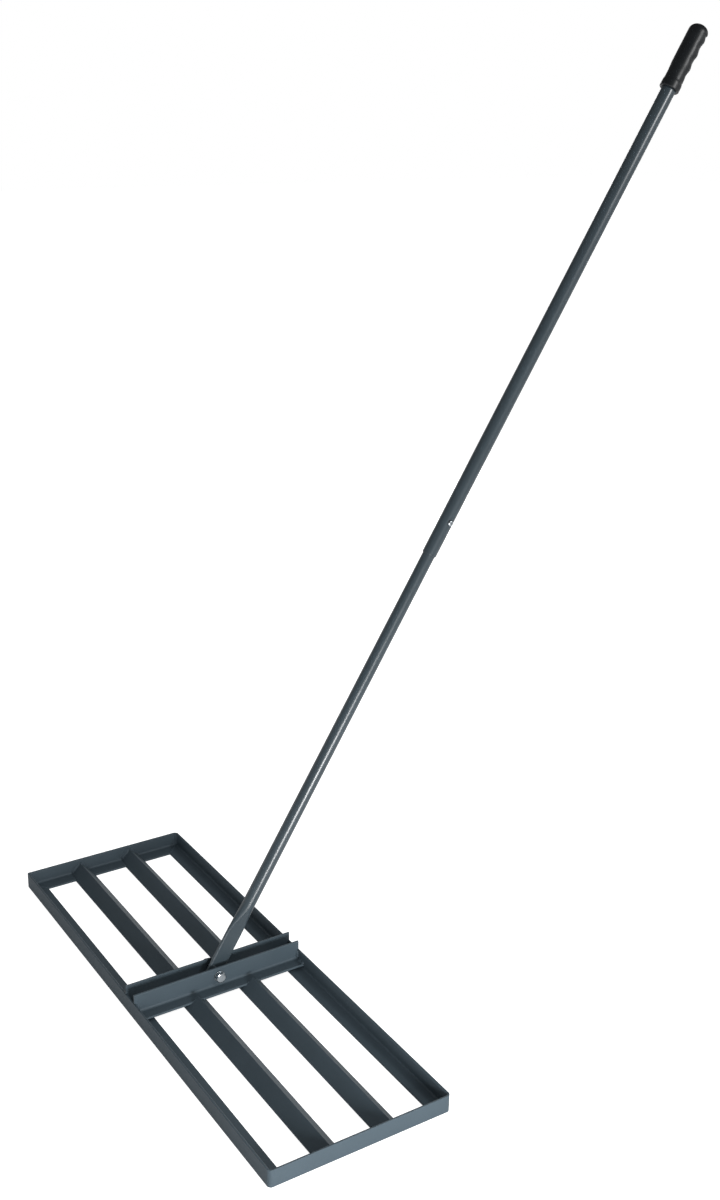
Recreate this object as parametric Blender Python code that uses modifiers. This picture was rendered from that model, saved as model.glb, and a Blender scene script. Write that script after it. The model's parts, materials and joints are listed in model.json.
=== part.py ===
# Lawn leveling rake: a flat welded head of steel angle with a pivoting two piece tube handle.
#
# Metres, +Z up. The head lies along X and stands on Z = 0. The origin is on the ground face of
# the front long rail, at mid length, and the handle leans away from that rail towards +Y.

import math

import bmesh
import bpy
from mathutils import Matrix, Vector

# Head: outer frame of equal angle, upright legs outside and flanges lying inwards on the ground
HEAD_LENGTH = 0.762
HEAD_WIDTH = 0.254
ANGLE_LEG = 0.024
STEEL = 0.003
ROOT_RADIUS = 0.003
TOE_RADIUS = 0.0015
EDGE_RADIUS = 0.0005
CORNER_ROUNDING = {
    "front_near": 0.006,
    "rear_near": 0.006,
    "rear_far": 0.0075,
    "front_far": 0.002,
}

# Two bars of the same angle lie inside the frame with their ridges up
RIDGE_OFFSET = 0.042

# Handle bracket: two unequal angles back to back across the head, a slot between their walls.
# Their ends are notched over the long rails' upright legs.
BRACKET_LENGTH = 0.252
BRACKET_SLOT = 0.0233
BRACKET_WALL = 0.0296
BRACKET_FLANGE = 0.0213
BRACKET_UNDERSIDE = 0.0077

# Pivot: an M8 bolt across the slot, with a washer at each end and a spacer each side of the tube
PIVOT_HEIGHT = 0.0245
BOLT_RADIUS = 0.004
BOLT_LENGTH = 0.045
BOLT_HOLE_RADIUS = 0.0043
HEX_ACROSS_FLATS = 0.013
BOLT_HEAD_HEIGHT = 0.0053
NUT_HEIGHT = 0.0065
NUT_COLLAR_RADIUS = 0.0058
NUT_COLLAR_HEIGHT = 0.0015
WASHER_RADIUS = 0.008
WASHER_THICKNESS = 0.0016
SPACER_RADIUS = 0.0065

# Handle, measured along its axis from the pivot
HANDLE_LEAN = math.radians(31.74)
LOWER_TUBE_RADIUS = 0.009
LOWER_TUBE_WALL = 0.0012
LOWER_TUBE_TOP = 0.720
FLAT_HALF_THICKNESS = 0.0026
FLAT_TOP = 0.055
ROUND_FROM = 0.105
LOFT_STEPS = 12
UPPER_TUBE_RADIUS = 0.0102
UPPER_TUBE_WALL = 0.0009
UPPER_TUBE_FROM = 0.645
JOINT_SCREW_AT = 0.696
SCREW_SHANK_RADIUS = 0.0023
SCREW_HEAD_RADIUS = 0.004
SCREW_HEAD_HEIGHT = 0.0026
SCREW_LENGTH = 0.009

# Grip: a moulded sleeve with a domed end and a waist above its lower rim. Its finger grooves
# run round the handle's underside and fade out towards its upper side, because each is turned
# about a line beside the axis. Each groove is (height, width, depth).
GRIP_FROM = 1.3572
GRIP_TOP = 1.4535
GRIP_RADIUS = 0.014
GRIP_END_THICKNESS = 0.006
DOME_RADIUS = 0.010
RIM_TOP = 1.3665
RIM_ROUNDING = 0.001
WAIST_FROM = 1.3715
WAIST_TO = 1.380
WAIST_DEPTH = 0.0008
SLEEVE_FROM = 1.395
FINGER_GROOVES = (
    (1.383, 0.0195, 0.0018),
    (1.404, 0.0195, 0.0018),
    (1.425, 0.0195, 0.0018),
    (1.4412, 0.009, 0.0014),
)
GROOVE_OFFSET = 0.0015

GAP = 0.0003
ROUND_STEPS = 40
TUBE_STEPS = 32
GROOVE_STEPS = 5
ARC_STEPS = 4
SMOOTH_ANGLE = math.radians(32)

HALF_LENGTH = HEAD_LENGTH / 2
HALF_WIDTH = HEAD_WIDTH / 2
HEAD_CENTRE = Vector((0.0, HALF_WIDTH - ANGLE_LEG / 2, 0.0))
WALL_OUTSIDE = BRACKET_SLOT / 2 + STEEL
NEAR_END = math.pi / 2
FAR_END = -math.pi / 2
WASHER_FROM = WALL_OUTSIDE + GAP
HEAD_FROM = WASHER_FROM + WASHER_THICKNESS + GAP

# Turns a section drawn in X (inwards) and Y (up) so that its length runs along world X or Y
ALONG_X = Matrix(((0, 0, 1, 0), (1, 0, 0, 0), (0, 1, 0, 0), (0, 0, 0, 1)))
ALONG_Y = Matrix(((1, 0, 0, 0), (0, 0, -1, 0), (0, 1, 0, 0), (0, 0, 0, 1)))
# Turns a piece made along Z so that it lies along X, its top towards +X
AXIS_TO_X = Matrix.Rotation(math.pi / 2, 4, "Y")


def clear_scene():
    for item in list(bpy.data.objects):
        bpy.data.objects.remove(item, do_unlink=True)


def new_collection(name):
    group = bpy.data.collections.new(name)
    bpy.context.scene.collection.children.link(group)
    return group


def new_material(name, colour, roughness, metallic):
    paint = bpy.data.materials.new(name)
    paint.use_nodes = True
    surface = paint.node_tree.nodes["Principled BSDF"]
    surface.inputs["Base Color"].default_value = (*colour, 1.0)
    surface.inputs["Roughness"].default_value = roughness
    surface.inputs["Metallic"].default_value = metallic
    paint.diffuse_color = (*colour, 1.0)
    return paint


clear_scene()
RAKE = new_collection("lawn_leveling_rake")
CUTTERS = new_collection("cutters")

COATED_STEEL = (0.046, 0.064, 0.078)
ZINC = (0.62, 0.64, 0.66)
GRIP_BLACK = (0.012, 0.013, 0.015)


def add_empty(name, parent, placement):
    guide = bpy.data.objects.new(name, None)
    RAKE.objects.link(guide)
    guide.parent = parent
    guide.matrix_basis = placement
    return guide


head = add_empty("head_centre", None, Matrix.Translation(HEAD_CENTRE))
handle = add_empty(
    "handle_pivot",
    head,
    Matrix.Translation((0, 0, PIVOT_HEIGHT)) @ Matrix.Rotation(-HANDLE_LEAN, 4, "X"),
)


def add_object(name, mesh, parent, placement, group):
    item = bpy.data.objects.new(name, mesh)
    group.objects.link(item)
    item.parent = parent
    item.matrix_basis = placement
    if group == CUTTERS:
        item.hide_render = True
        item.display_type = "WIRE"
    return item


def finish(item, colour, roughness, metallic):
    """Gives a piece its own material and smooth round faces."""
    item.data.materials.append(new_material(item.name, colour, roughness, metallic))
    item.data.shade_smooth()
    item.data.set_sharp_from_angle(angle=SMOOTH_ANGLE)
    return item


def coat(item):
    return finish(item, COATED_STEEL, 0.42, 0.35)


def plate(item):
    return finish(item, ZINC, 0.28, 1.0)


def cut(item, cutter, operation="DIFFERENCE"):
    step = item.modifiers.new(f"{operation.lower()} {cutter.name}", "BOOLEAN")
    step.operation = operation
    step.solver = "EXACT"
    step.object = cutter
    return item


def rounded(corners, steps=ARC_STEPS):
    """Closed outline through (x, y, radius) corners, each replaced by an arc of its radius."""
    outline = []
    for index, (x, y, radius) in enumerate(corners):
        corner = Vector((x, y))
        if radius == 0:
            outline.append(corner)
            continue
        before = (Vector(corners[index - 1][:2]) - corner).normalized()
        after = (Vector(corners[(index + 1) % len(corners)][:2]) - corner).normalized()
        half_angle = before.angle(after) / 2
        centre = corner + (before + after).normalized() * radius / math.sin(half_angle)
        start = corner + before * radius / math.tan(half_angle) - centre
        end = corner + after * radius / math.tan(half_angle) - centre
        sweep = start.angle_signed(end)
        for step in range(steps + 1):
            turned = Matrix.Rotation(-sweep * step / steps, 2) @ start
            outline.append(centre + turned)
    return outline


def flat_solid(name, outline, length, parent, placement, group=None):
    """Closed prism: a filled 2D outline, extruded half its length each way along its own Z."""
    curve = bpy.data.curves.new(name, "CURVE")
    curve.dimensions = "2D"
    curve.fill_mode = "BOTH"
    curve.extrude = length / 2
    spline = curve.splines.new("POLY")
    spline.points.add(len(outline) - 1)
    for point, (x, y) in zip(spline.points, outline):
        point.co = (x, y, 0, 1)
    spline.use_cyclic_u = True
    guide = bpy.data.objects.new(name, curve)
    CUTTERS.objects.link(guide)
    seen = guide.evaluated_get(bpy.context.evaluated_depsgraph_get())
    mesh = bpy.data.meshes.new_from_object(seen)
    bpy.data.objects.remove(guide, do_unlink=True)
    mesh.name = name
    work = bmesh.new()
    work.from_mesh(mesh)
    bmesh.ops.remove_doubles(work, verts=work.verts, dist=0.000001)
    bmesh.ops.recalc_face_normals(work, faces=work.faces)
    work.to_mesh(mesh)
    work.free()
    return add_object(name, mesh, parent, placement, group or RAKE)


def turned(name, profile, parent, placement, steps=ROUND_STEPS, ring=False, group=None):
    """Solid of revolution round Z from (radius, height) points, top to bottom outside.

    A ring's profile closes on itself. Any other starts and ends on the axis.
    """
    mesh = bpy.data.meshes.new(name)
    ends = len(profile) if ring else len(profile) - 1
    mesh.from_pydata(
        [(radius, 0, height) for radius, height in profile],
        [(index, (index + 1) % len(profile)) for index in range(ends)],
        [],
    )
    item = add_object(name, mesh, parent, placement, group or RAKE)
    screw = item.modifiers.new("turn", "SCREW")
    screw.axis = "Z"
    screw.angle = 2 * math.pi
    screw.steps = steps
    screw.render_steps = steps
    screw.use_merge_vertices = True
    screw.merge_threshold = 0.00001
    screw.use_smooth_shade = True
    return item


def primitive(name, build, parent, placement, group, **sizes):
    """A bmesh primitive as an object."""
    mesh = bpy.data.meshes.new(name)
    work = bmesh.new()
    build(work, **sizes)
    work.to_mesh(mesh)
    work.free()
    return add_object(name, mesh, parent, placement, group)


def box_cutter(name, low, high, parent):
    low, high = Vector(low), Vector(high)
    placement = Matrix.Translation((low + high) / 2)
    stretch = Matrix.Diagonal((*(high - low), 1))
    return primitive(
        name, bmesh.ops.create_cube, parent, placement, CUTTERS, size=1, matrix=stretch
    )


def rod(name, radius, length, parent, placement, group, steps=TUBE_STEPS):
    return primitive(
        name,
        bmesh.ops.create_cone,
        parent,
        placement,
        group,
        cap_ends=True,
        segments=steps,
        radius1=radius,
        radius2=radius,
        depth=length,
    )


def angle_section(flange, upright):
    """Rolled steel angle with its heel at (0, 0), its flange along X and its upright along Y."""
    return rounded(
        [
            (0, 0, EDGE_RADIUS),
            (flange, 0, EDGE_RADIUS),
            (flange, STEEL, TOE_RADIUS),
            (STEEL, STEEL, ROOT_RADIUS),
            (STEEL, upright, TOE_RADIUS),
            (0, upright, EDGE_RADIUS),
        ]
    )


def make_corner_cutters():
    """At each frame corner, the scrap outside a quarter circle of that corner's radius."""
    margin = 0.004
    cutters = {}
    for name, radius in CORNER_ROUNDING.items():
        along = 1 if name.endswith("near") else -1
        across = -1 if name.startswith("front") else 1
        outline = [(margin, -radius), (margin, margin), (-radius, margin)]
        for step in range(2 * ARC_STEPS + 1):
            turn = math.pi / 2 * (1 - step / (2 * ARC_STEPS))
            outline.append((radius * (math.cos(turn) - 1), radius * (math.sin(turn) - 1)))
        corner = [(along * (HALF_LENGTH + x), across * (HALF_WIDTH + y)) for x, y in outline]
        cutters[name] = flat_solid(
            f"corner_{name}", corner, 4 * ANGLE_LEG, head, Matrix.Identity(4), CUTTERS
        )
    return cutters


def rail_placement(reach, heading):
    """Stands a section with its outer face at the given reach from the head's centre."""
    return Matrix.Rotation(heading, 4, "Z") @ Matrix.Translation((0, -reach, 0)) @ ALONG_X


def make_rail(name, length, reach, heading, corners):
    """A frame rail with mitred ends."""
    section = angle_section(ANGLE_LEG, ANGLE_LEG)
    rail = flat_solid(name, section, length, head, rail_placement(reach, heading))
    mitre_gap = GAP / 2 * math.sqrt(2)
    for vertex in rail.data.vertices:
        pulled_back = vertex.co.x + mitre_gap
        vertex.co.z -= math.copysign(pulled_back, vertex.co.z)
    for cutter in corners:
        cut(rail, cutter)
    return coat(rail)


def make_frame():
    corner = make_corner_cutters()
    for name, length, reach, heading, ends in (
        ("left_rail", HEAD_LENGTH, HALF_WIDTH, 0, ("front_near", "front_far")),
        ("right_rail", HEAD_LENGTH, HALF_WIDTH, math.pi, ("rear_near", "rear_far")),
        ("near_end_rail", HEAD_WIDTH, HALF_LENGTH, NEAR_END, ("front_near", "rear_near")),
        ("far_end_rail", HEAD_WIDTH, HALF_LENGTH, FAR_END, ("front_far", "rear_far")),
    ):
        make_rail(name, length, reach, heading, [corner[end] for end in ends])


def make_cope_cutters():
    """The end rails' own section, a gap larger, out to their ends and down past the ground."""
    tall = 2 * ANGLE_LEG
    edge = STEEL + GAP
    section = rounded(
        [
            (-ANGLE_LEG, -tall, 0),
            (ANGLE_LEG + GAP, -tall, 0),
            (ANGLE_LEG + GAP, edge, 0),
            (edge, edge, ROOT_RADIUS - GAP),
            (edge, tall, 0),
            (-ANGLE_LEG, tall, 0),
        ]
    )
    return [
        flat_solid(
            f"{name}_cope", section, HEAD_WIDTH, head, rail_placement(HALF_LENGTH, heading), CUTTERS
        )
        for name, heading in (("near_end", NEAR_END), ("far_end", FAR_END))
    ]


def make_ridge_bars():
    """Inverted angle bars, coped over the end rails' flanges and notched under the bracket."""
    tilt = Matrix.Rotation(math.radians(-135), 2)
    section = [tilt @ point for point in angle_section(ANGLE_LEG, ANGLE_LEG)]
    lowest = min(point.y for point in section)
    section = [(point.x, point.y - lowest) for point in section]
    notch_reach = BRACKET_SLOT / 2 + BRACKET_FLANGE + GAP
    notch = box_cutter(
        "bracket_notch",
        (-notch_reach, -HALF_WIDTH, BRACKET_UNDERSIDE - GAP),
        (notch_reach, HALF_WIDTH, 2 * ANGLE_LEG),
        head,
    )
    cutters = [notch, *make_cope_cutters()]
    for name, across in (("ridge_bar_left", -RIDGE_OFFSET), ("ridge_bar_right", RIDGE_OFFSET)):
        placement = Matrix.Translation((0, across, 0)) @ ALONG_X
        bar = flat_solid(name, section, HEAD_LENGTH, head, placement)
        for cutter in cutters:
            cut(bar, cutter)
        coat(bar)


def make_seat_cutters():
    """Clears the long rails' upright legs at the bracket's two ends."""
    inside = HALF_WIDTH - STEEL - GAP
    reach = 2 * (BRACKET_SLOT + BRACKET_FLANGE)
    return [
        box_cutter(
            f"{name}_seat",
            (-reach, min(side * inside, side * HEAD_WIDTH), 0),
            (reach, max(side * inside, side * HEAD_WIDTH), ANGLE_LEG + GAP),
            head,
        )
        for name, side in (("front", -1), ("rear", 1))
    ]


def make_bracket():
    """Two angles with their walls facing each other, flanges outwards, drilled for the bolt."""
    at_pivot = Matrix.Translation((0, 0, PIVOT_HEIGHT)) @ AXIS_TO_X
    drill = rod("pivot_drill", BOLT_HOLE_RADIUS, 2 * BOLT_LENGTH, head, at_pivot, CUTTERS)
    seats = make_seat_cutters()
    for name, heading in (("bracket_front_angle", 0), ("bracket_rear_angle", math.pi)):
        placement = (
            Matrix.Rotation(heading, 4, "Z")
            @ Matrix.Translation((BRACKET_SLOT / 2, 0, BRACKET_UNDERSIDE))
            @ ALONG_Y
        )
        section = angle_section(BRACKET_FLANGE, BRACKET_WALL)
        angle = flat_solid(name, section, BRACKET_LENGTH, head, placement)
        for cutter in (drill, *seats):
            cut(angle, cutter)
        coat(angle)


def hex_blank(name, height, placement):
    """Hexagon with its two ends' corners chamfered, centred on its own Z from 0 up."""
    corner_radius = HEX_ACROSS_FLATS / math.sqrt(3)
    blank = rod(
        name,
        corner_radius,
        height,
        head,
        placement @ Matrix.Translation((0, 0, height / 2)),
        RAKE,
        steps=6,
    )
    slope = math.tan(math.radians(30))
    inner = HEX_ACROSS_FLATS / 2 * 0.95
    outer = corner_radius * 1.1
    drop = (outer - inner) * slope
    chamfer = turned(
        f"{name}_chamfer",
        [(0, height), (inner, height), (outer, height - drop), (outer, -drop), (0, -drop)],
        head,
        placement,
        group=CUTTERS,
    )
    return cut(blank, chamfer, "INTERSECT")


def washer(name, radius, hole, start, thickness):
    """Flat ring on the bolt, from start outwards along X. A negative start makes it on the rear."""
    side = math.copysign(1, start)
    centre = start + side * thickness / 2
    half = thickness / 2
    ease = min(0.0003, half / 2)
    profile = [
        (hole, half),
        (radius - ease, half),
        (radius, half - ease),
        (radius, ease - half),
        (radius - ease, -half),
        (hole, -half),
    ]
    placement = Matrix.Translation((centre, 0, PIVOT_HEIGHT)) @ AXIS_TO_X
    return plate(turned(name, profile, head, placement, ring=True))


def make_pivot():
    """Bolt, washers, spacers and lock nut, all on the pivot axis."""
    front = Matrix.Translation((HEAD_FROM, 0, PIVOT_HEIGHT)) @ AXIS_TO_X
    bolt = hex_blank("pivot_bolt", BOLT_HEAD_HEIGHT, front)
    sunk = 0.001
    point = 0.0008
    shank = turned(
        "bolt_shank",
        [
            (0, sunk),
            (BOLT_RADIUS, sunk),
            (BOLT_RADIUS, point - BOLT_LENGTH),
            (BOLT_RADIUS - point, -BOLT_LENGTH),
            (0, -BOLT_LENGTH),
        ],
        head,
        front,
        group=CUTTERS,
    )
    plate(cut(bolt, shank, "UNION"))

    rear = (
        Matrix.Translation((-HEAD_FROM, 0, PIVOT_HEIGHT))
        @ Matrix.Rotation(math.pi, 4, "Z")
        @ AXIS_TO_X
    )
    nut = hex_blank("pivot_lock_nut", NUT_HEIGHT, rear)
    collar_top = NUT_HEIGHT + NUT_COLLAR_HEIGHT
    collar = turned(
        "nut_collar",
        [
            (0, collar_top),
            (NUT_COLLAR_RADIUS - sunk / 2, collar_top),
            (NUT_COLLAR_RADIUS, collar_top - sunk / 2),
            (NUT_COLLAR_RADIUS, NUT_HEIGHT - sunk),
            (0, NUT_HEIGHT - sunk),
        ],
        head,
        rear,
        group=CUTTERS,
    )
    bore = rod("nut_bore", BOLT_HOLE_RADIUS, 2 * BOLT_LENGTH, head, rear, CUTTERS)
    cut(nut, collar, "UNION")
    plate(cut(nut, bore))

    spacer_from = FLAT_HALF_THICKNESS + GAP
    spacer_length = BRACKET_SLOT / 2 - GAP - spacer_from
    washer("washer_front", WASHER_RADIUS, BOLT_HOLE_RADIUS, WASHER_FROM, WASHER_THICKNESS)
    washer("washer_rear", WASHER_RADIUS, BOLT_HOLE_RADIUS, -WASHER_FROM, WASHER_THICKNESS)
    washer("spacer_front", SPACER_RADIUS, BOLT_HOLE_RADIUS, spacer_from, spacer_length)
    washer("spacer_rear", SPACER_RADIUS, BOLT_HOLE_RADIUS, -spacer_from, spacer_length)


def pressed_ring(radius, half_thickness, height):
    """Ring of points round a tube pressed to a half thickness, its outline's length unchanged."""
    flat_half = math.pi * (radius - half_thickness) / 2
    ring = []
    for index in range(TUBE_STEPS):
        turn = 2 * math.pi * (index + 0.5) / TUBE_STEPS
        shift = math.copysign(flat_half, math.sin(turn))
        ring.append(
            (half_thickness * math.cos(turn), half_thickness * math.sin(turn) + shift, height)
        )
    return ring


def pressed_tube(name, heights):
    """Tube wall lofted through its pressed sections: outer rings up, inner rings down."""
    bore = LOWER_TUBE_RADIUS - LOWER_TUBE_WALL
    flat_bore = FLAT_HALF_THICKNESS - LOWER_TUBE_WALL
    outside, inside = [], []
    for height in heights:
        share = min(max((height - FLAT_TOP) / (ROUND_FROM - FLAT_TOP), 0), 1)
        opened = share * share * (3 - 2 * share)
        half = FLAT_HALF_THICKNESS + (LOWER_TUBE_RADIUS - FLAT_HALF_THICKNESS) * opened
        outside.append(pressed_ring(LOWER_TUBE_RADIUS, half, height))
        inside.append(pressed_ring(bore, flat_bore + (bore - flat_bore) * opened, height))
    rings = outside + inside[::-1]
    work = bmesh.new()
    loops = [[work.verts.new(point) for point in ring] for ring in rings]
    for index, loop in enumerate(loops):
        above = loops[(index + 1) % len(loops)]
        for step in range(TUBE_STEPS):
            after = (step + 1) % TUBE_STEPS
            work.faces.new((loop[step], loop[after], above[after], above[step]))
    bmesh.ops.recalc_face_normals(work, faces=work.faces)
    mesh = bpy.data.meshes.new(name)
    work.to_mesh(mesh)
    work.free()
    return add_object(name, mesh, handle, Matrix.Identity(4), RAKE)


def make_lower_tube(screw_drill):
    """Round tube with its lower end pressed flat, trimmed to a half circle and drilled."""
    radius = math.pi * (LOWER_TUBE_RADIUS - FLAT_HALF_THICKNESS) / 2 + FLAT_HALF_THICKNESS
    lofted = [
        FLAT_TOP + (ROUND_FROM - FLAT_TOP) * step / LOFT_STEPS for step in range(LOFT_STEPS + 1)
    ]
    tube = pressed_tube("lower_tube", [-radius, *lofted, LOWER_TUBE_TOP])
    turns = [math.pi * step / (4 * ARC_STEPS) for step in range(4 * ARC_STEPS + 1)]
    round_end = [(radius * math.cos(turn), -radius * math.sin(turn)) for turn in turns]
    clear = 2 * radius
    scrap = [(clear, 0), *round_end, (-clear, 0), (-clear, -clear), (clear, -clear)]
    end_trim = flat_solid("end_trim", scrap, 2 * BRACKET_SLOT, handle, ALONG_X, CUTTERS)
    drill = rod("tube_drill", BOLT_HOLE_RADIUS, 2 * BOLT_LENGTH, handle, AXIS_TO_X, CUTTERS)
    for cutter in (end_trim, drill, screw_drill):
        cut(tube, cutter)
    return coat(tube)


def make_upper_tube(screw_drill):
    """Plain tube that slips over the lower one and carries the grip."""
    bore = UPPER_TUBE_RADIUS - UPPER_TUBE_WALL
    top = GRIP_TOP - GRIP_END_THICKNESS - GAP
    ease = 0.0003
    profile = [
        (bore, top),
        (UPPER_TUBE_RADIUS - ease, top),
        (UPPER_TUBE_RADIUS, top - ease),
        (UPPER_TUBE_RADIUS, UPPER_TUBE_FROM + ease),
        (UPPER_TUBE_RADIUS - ease, UPPER_TUBE_FROM),
        (bore, UPPER_TUBE_FROM),
    ]
    tube = turned("upper_tube", profile, handle, Matrix.Identity(4), ring=True)
    return coat(cut(tube, screw_drill))


def joint_screw_placement():
    """The screw lies along X like the pivot bolt, its head on the near side."""
    return Matrix.Translation((0, 0, JOINT_SCREW_AT)) @ AXIS_TO_X


def make_joint_screw():
    """Pan head screw through the upper tube's wall into the lower tube's."""
    seat = UPPER_TUBE_RADIUS + GAP
    tip = 0.002
    crown = [
        (
            SCREW_HEAD_RADIUS * math.sin(turn),
            seat + SCREW_HEAD_HEIGHT * (0.35 + 0.65 * math.cos(turn)),
        )
        for turn in (math.pi / 2 * step / 6 for step in range(7))
    ]
    profile = [
        *crown,
        (SCREW_HEAD_RADIUS, seat),
        (SCREW_SHANK_RADIUS, seat),
        (SCREW_SHANK_RADIUS, seat - SCREW_LENGTH + tip),
        (0, seat - SCREW_LENGTH),
    ]
    return plate(turned("joint_screw", profile, handle, joint_screw_placement(), steps=TUBE_STEPS))


def make_finger_groove(name, height, width, depth):
    """Cutting ring whose hole has a rounded wall, narrowest at the groove's height."""
    half = width / 2
    wall = (half * half + depth * depth) / (2 * depth)
    narrowest = GRIP_RADIUS + GROOVE_OFFSET - depth
    sweep = math.asin(half / wall) * 1.2
    turns = [sweep * (step / GROOVE_STEPS - 1) for step in range(2 * GROOVE_STEPS + 1)]
    inside = [
        (narrowest + wall * (1 - math.cos(turn)), wall * math.sin(turn)) for turn in turns
    ]
    outside = 2 * GRIP_RADIUS
    profile = [(outside, inside[-1][1]), (outside, inside[0][1]), *inside]
    beside = Matrix.Translation((0, -GROOVE_OFFSET, height))
    return turned(name, profile, handle, beside, TUBE_STEPS, ring=True, group=CUTTERS)


def make_grip():
    """Turned sleeve with a domed end and a blind bore, then a row of finger grooves."""
    bore = UPPER_TUBE_RADIUS + GAP
    bore_top = GRIP_TOP - GRIP_END_THICKNESS
    dome = [
        (
            GRIP_RADIUS - DOME_RADIUS * (1 - math.sin(turn)),
            GRIP_TOP - DOME_RADIUS * (1 - math.cos(turn)),
        )
        for turn in (math.pi / 2 * step / 8 for step in range(9))
    ]
    profile = [
        (0, GRIP_TOP),
        *dome,
        (GRIP_RADIUS, SLEEVE_FROM),
        (GRIP_RADIUS - WAIST_DEPTH, WAIST_TO),
        (GRIP_RADIUS - WAIST_DEPTH, WAIST_FROM),
        (GRIP_RADIUS, RIM_TOP),
        (GRIP_RADIUS, GRIP_FROM + RIM_ROUNDING),
        (GRIP_RADIUS - RIM_ROUNDING, GRIP_FROM),
        (bore, GRIP_FROM),
        (bore, bore_top),
        (0, bore_top),
    ]
    grip = turned("grip", profile, handle, Matrix.Identity(4))
    for index, (height, width, depth) in enumerate(FINGER_GROOVES):
        cut(grip, make_finger_groove(f"finger_groove_{index}", height, width, depth))
    return finish(grip, GRIP_BLACK, 0.55, 0.0)


def make_handle():
    screw_drill = rod(
        "screw_drill",
        SCREW_SHANK_RADIUS + GAP,
        0.02,
        handle,
        joint_screw_placement() @ Matrix.Translation((0, 0, 0.01)),
        CUTTERS,
        steps=24,
    )
    make_lower_tube(screw_drill)
    make_upper_tube(screw_drill)
    make_joint_screw()
    make_grip()


make_frame()
make_ridge_bars()
make_bracket()
make_pivot()
make_handle()
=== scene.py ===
import json
import math

import bmesh
import bpy
from mathutils import Matrix, Vector, noise


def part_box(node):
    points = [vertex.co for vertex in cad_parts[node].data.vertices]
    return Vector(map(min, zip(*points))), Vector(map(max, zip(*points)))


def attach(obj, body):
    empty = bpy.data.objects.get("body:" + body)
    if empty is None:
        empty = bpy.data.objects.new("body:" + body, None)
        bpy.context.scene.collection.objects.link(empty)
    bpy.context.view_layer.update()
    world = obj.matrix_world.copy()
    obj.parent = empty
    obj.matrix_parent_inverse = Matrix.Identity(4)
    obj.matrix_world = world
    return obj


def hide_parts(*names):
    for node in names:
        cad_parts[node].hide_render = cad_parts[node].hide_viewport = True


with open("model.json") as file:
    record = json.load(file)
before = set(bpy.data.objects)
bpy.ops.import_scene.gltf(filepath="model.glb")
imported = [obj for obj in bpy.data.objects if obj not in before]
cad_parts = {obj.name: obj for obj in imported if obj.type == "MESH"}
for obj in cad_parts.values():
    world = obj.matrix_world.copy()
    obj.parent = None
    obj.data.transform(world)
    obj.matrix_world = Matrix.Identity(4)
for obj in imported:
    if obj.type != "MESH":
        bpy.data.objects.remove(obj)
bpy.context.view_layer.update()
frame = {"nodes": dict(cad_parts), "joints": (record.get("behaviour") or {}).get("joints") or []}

scene = bpy.context.scene
scene.view_settings.view_transform = "Standard"
nodes = frame["nodes"]
print("frame loaded,", len(nodes), "nodes")

# camera, where someone stands off the head's near end
camera = {
    "place": (1.5350, -0.6527, 1.1838),
    "right": (0.53893983, 0.84216329, 0.01745995),
    "up": (-0.29360331, 0.16838188, 0.94098068),
    "back": (0.78951944, -0.51225827, 0.33800964),
    "longSide": 24.0,    # sensor, mm, along the picture's height
    "lens": 28.955,
}


def makeCamera(view):
    lens = bpy.data.cameras.new("camera")
    lens.sensor_width = view["longSide"]
    lens.lens = view["lens"]
    lens.clip_start, lens.clip_end = 0.05, 60
    eye = bpy.data.objects.new("camera", lens)
    scene.collection.objects.link(eye)
    turn = Matrix((view["right"], view["up"], view["back"])).transposed()
    eye.matrix_world = Matrix.Translation(view["place"]) @ turn.to_4x4()
    scene.camera = eye


makeCamera(camera)

# the handle's own frame: origin on the pivot, Z up the tubes, Y towards the underside
pivot = Vector(frame["joints"][0]["pos_m"])
tubeMiddle = (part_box("upper_tube")[0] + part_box("upper_tube")[1]) / 2
handleWay = (tubeMiddle - pivot).normalized()
handleTurn = Matrix(((1, 0, 0), (0, handleWay.z, -handleWay.y), handleWay)).transposed()
handleFrame = Matrix.Translation(pivot) @ handleTurn.to_4x4()


def handleSpan(node):
    # lowest and highest point of a node along the handle
    back = handleFrame.inverted()
    heights = [(back @ vertex.co).z for vertex in nodes[node].data.vertices]
    return min(heights), max(heights)


# shader helpers

def newGroup(name, inputs, outputs):
    group = bpy.data.node_groups.new(name, "ShaderNodeTree")
    for label, kind, value in inputs:
        socket = group.interface.new_socket(label, in_out="INPUT", socket_type=f"NodeSocket{kind}")
        if value is not None:
            socket.default_value = value
    for label, kind in outputs:
        group.interface.new_socket(label, in_out="OUTPUT", socket_type=f"NodeSocket{kind}")
    return group, group.nodes.new("NodeGroupInput").outputs, group.nodes.new("NodeGroupOutput").inputs


def addNode(tree, kind, settings=None, **values):
    node = tree.nodes.new(f"ShaderNode{kind}")
    for key, value in (settings or {}).items():
        setattr(node, key, value)
    for key, value in values.items():
        node.inputs[key].default_value = value
    return node


def feed(tree, socket, value):
    if isinstance(value, (int, float, tuple)):
        socket.default_value = value
    else:
        tree.links.new(value, socket)


def sums(tree, operation, first, second):
    node = addNode(tree, "Math", {"operation": operation})
    feed(tree, node.inputs[0], first)
    feed(tree, node.inputs[1], second)
    return node.outputs[0]


def mixColour(tree, share, first, second):
    node = addNode(tree, "Mix", {"data_type": "RGBA"})
    for socket, value in zip((node.inputs[0], node.inputs[6], node.inputs[7]), (share, first, second)):
        feed(tree, socket, value)
    return node.outputs[2]


def noiseAt(tree, where, size, detail=2.0):
    # noise whose features are about size metres across
    field = addNode(tree, "TexNoise", Detail=detail)
    feed(tree, field.inputs["Vector"], where)
    feed(tree, field.inputs["Scale"], sums(tree, "DIVIDE", 1.0, size))
    return field.outputs["Fac"]


def steep(tree, value, low, high):
    node = addNode(tree, "MapRange", {"interpolation_type": "SMOOTHSTEP"})
    for socket, amount in zip(node.inputs, (value, low, high, 0.0, 1.0)):
        feed(tree, socket, amount)
    return node.outputs[0]


# shared effects

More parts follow.
